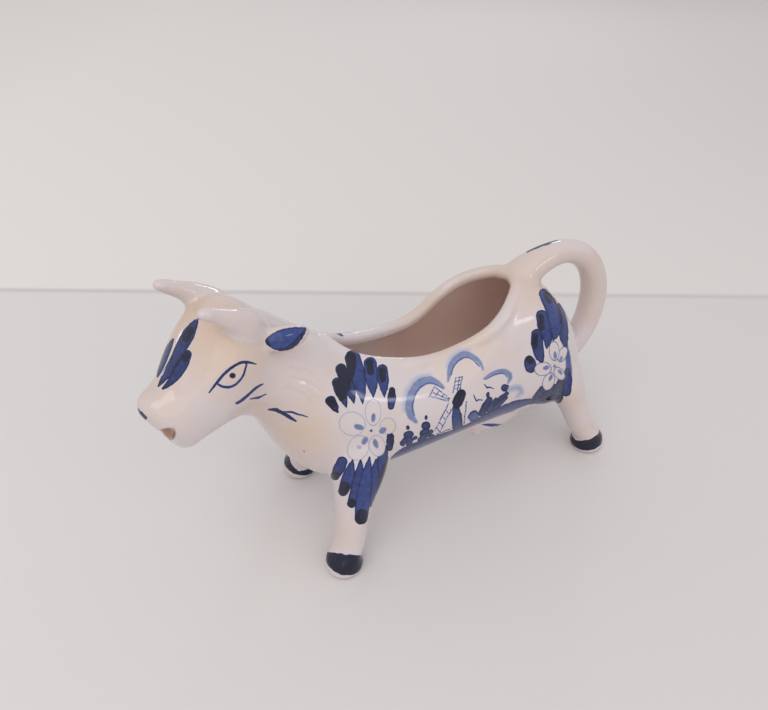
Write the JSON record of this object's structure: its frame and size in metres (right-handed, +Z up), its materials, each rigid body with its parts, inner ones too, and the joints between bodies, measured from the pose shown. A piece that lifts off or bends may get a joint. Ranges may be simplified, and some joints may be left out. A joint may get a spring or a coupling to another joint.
{
  "type": "cow creamer",
  "caption": "Standing cow shaped milk jug in blue-and-white glazed earthenware: open back for filling, pouring hole in the mouth, curled tail as the handle.",
  "frame": {"origin": "on the table plane, under the middle of the figure's outer box", "axes": "+Z up from the hoof soles, head toward -X, tail handle toward +X, the cow's left side toward -Y"},
  "size_m": [0.1565, 0.0553, 0.0977],
  "materials": {
    "white_glaze": "glossy clear glaze over warm white earthenware, painted in cobalt blue",
    "cobalt_glaze": "glossy clear glaze over a dark cobalt band"
  },
  "bodies": {
    "root": {"trunk": "white_glaze", "neck": "white_glaze", "head": "white_glaze", "left_horn": "white_glaze", "right_horn": "white_glaze", "left_ear": "white_glaze", "right_ear": "white_glaze", "tail_handle": "white_glaze", "udder": "white_glaze", "left_teat": "white_glaze", "right_teat": "white_glaze", "front_left_leg": "white_glaze", "front_right_leg": "white_glaze", "rear_left_leg": "white_glaze", "rear_right_leg": "white_glaze", "front_left_hoof": "cobalt_glaze", "front_right_hoof": "cobalt_glaze", "rear_left_hoof": "cobalt_glaze", "rear_right_hoof": "cobalt_glaze"}
  },
  "joints": []
}
